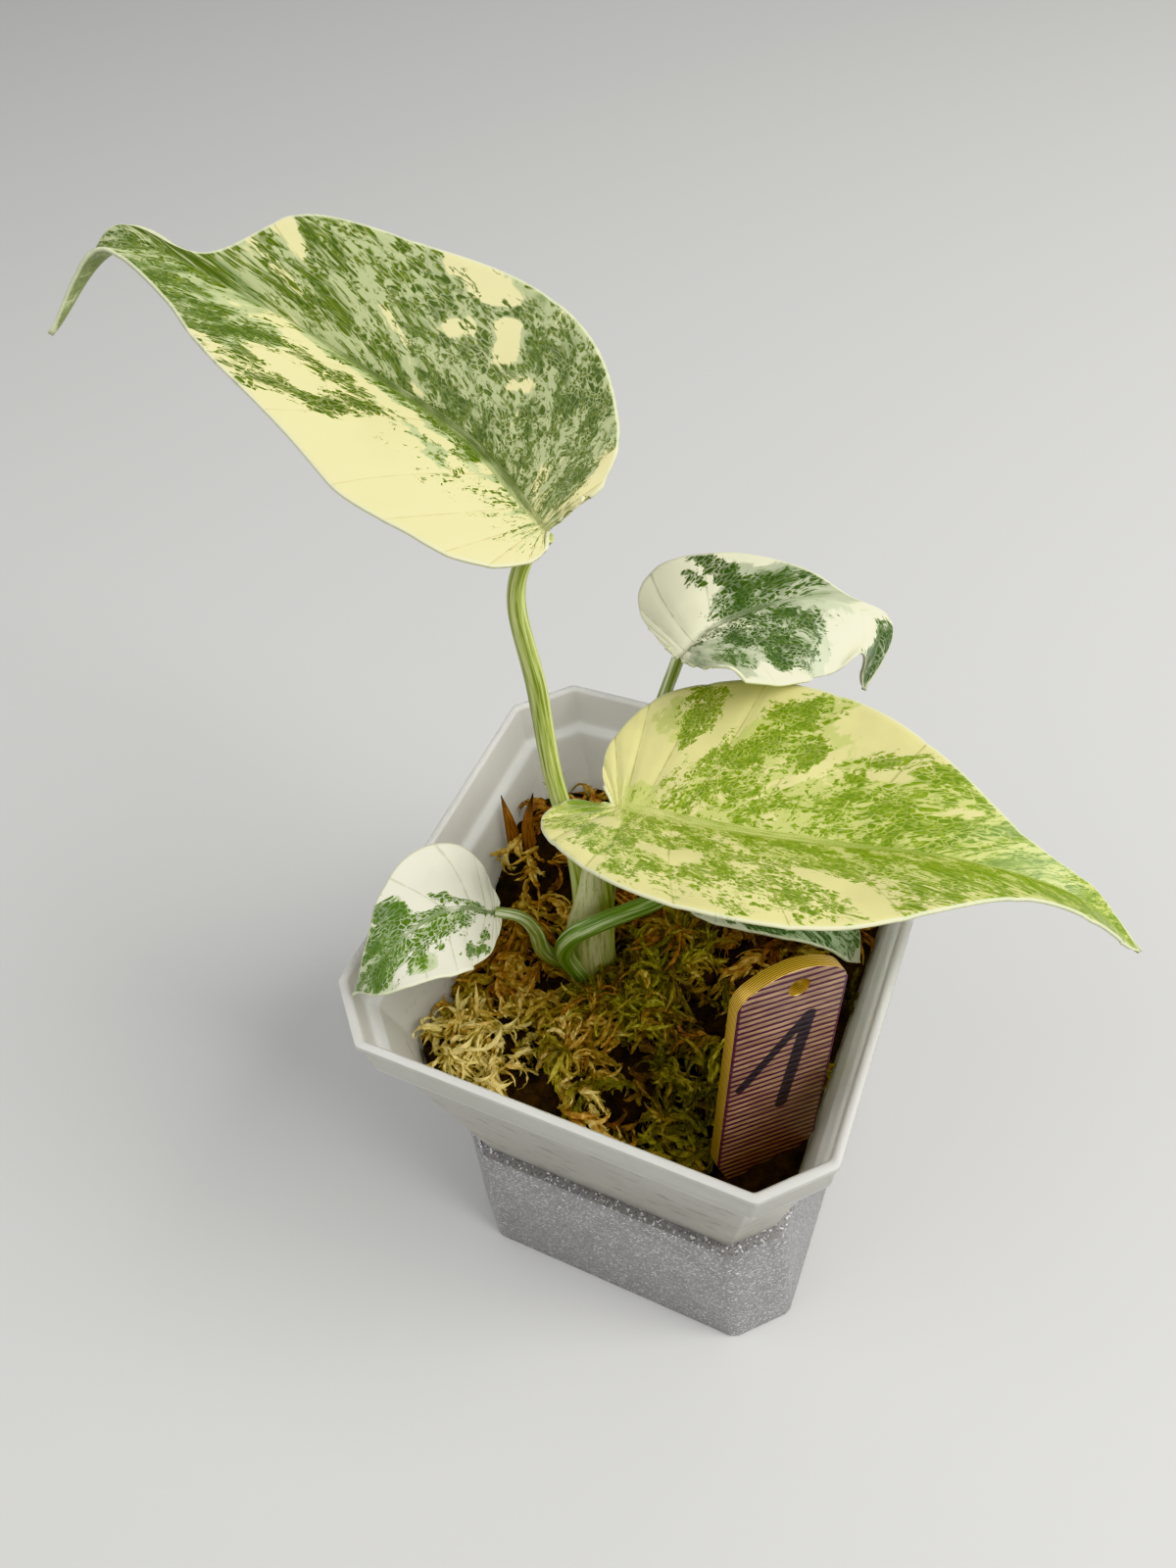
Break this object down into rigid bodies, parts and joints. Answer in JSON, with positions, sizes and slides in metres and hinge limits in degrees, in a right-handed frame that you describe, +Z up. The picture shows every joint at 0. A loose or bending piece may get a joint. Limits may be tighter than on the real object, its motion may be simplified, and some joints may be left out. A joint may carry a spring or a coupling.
{
  "type": "potted variegated monstera",
  "caption": "Young monstera with cream and green marbled leaves in moss, in a clear square pot set in a silver cover pot, with a printed plant label.",
  "frame": {"origin": "centre of the cover pot's flat underside", "axes": "+Z up, the pots' flat sides along X and Y, -Y is the front; the plant label stands at the front right corner"},
  "size_m": [0.1624, 0.0899, 0.1843],
  "materials": {
    "silver_print": "silver glitter, fine print layers",
    "frosted_plastic": "thin, frosted and translucent",
    "brown_moss": "dry and fibrous",
    "green_moss": "dry and fibrous, yellow-green",
    "straw_moss": "dry and fibrous, straw yellow",
    "dry_sheath": "dry and papery",
    "pale_stem": "smooth and waxy",
    "green_stalk": "smooth and waxy",
    "leaf": "waxy, marbled cream, lime and grey-green",
    "pale_leaf": "waxy, white with green along the midrib",
    "label_print": "two-colour print, purple with gold ridges"
  },
  "bodies": {
    "root": {"cover_pot": "silver_print", "clear_pot": "frosted_plastic", "moss_brown_bed": "brown_moss", "moss_green_ridge": "green_moss", "moss_pale_clump": "straw_moss", "dry_tip_left": "dry_sheath", "dry_tip_right": "dry_sheath", "crown": "pale_stem", "stalk_upper_left": "green_stalk", "stalk_right": "green_stalk", "stalk_upper_right": "green_stalk", "stalk_low_left": "green_stalk", "stalk_low_right": "green_stalk", "blade_upper_left": "leaf", "blade_right": "leaf", "blade_upper_right": "leaf", "blade_low_left": "pale_leaf", "blade_low_right": "leaf", "label_tag": "label_print"}
  },
  "joints": []
}
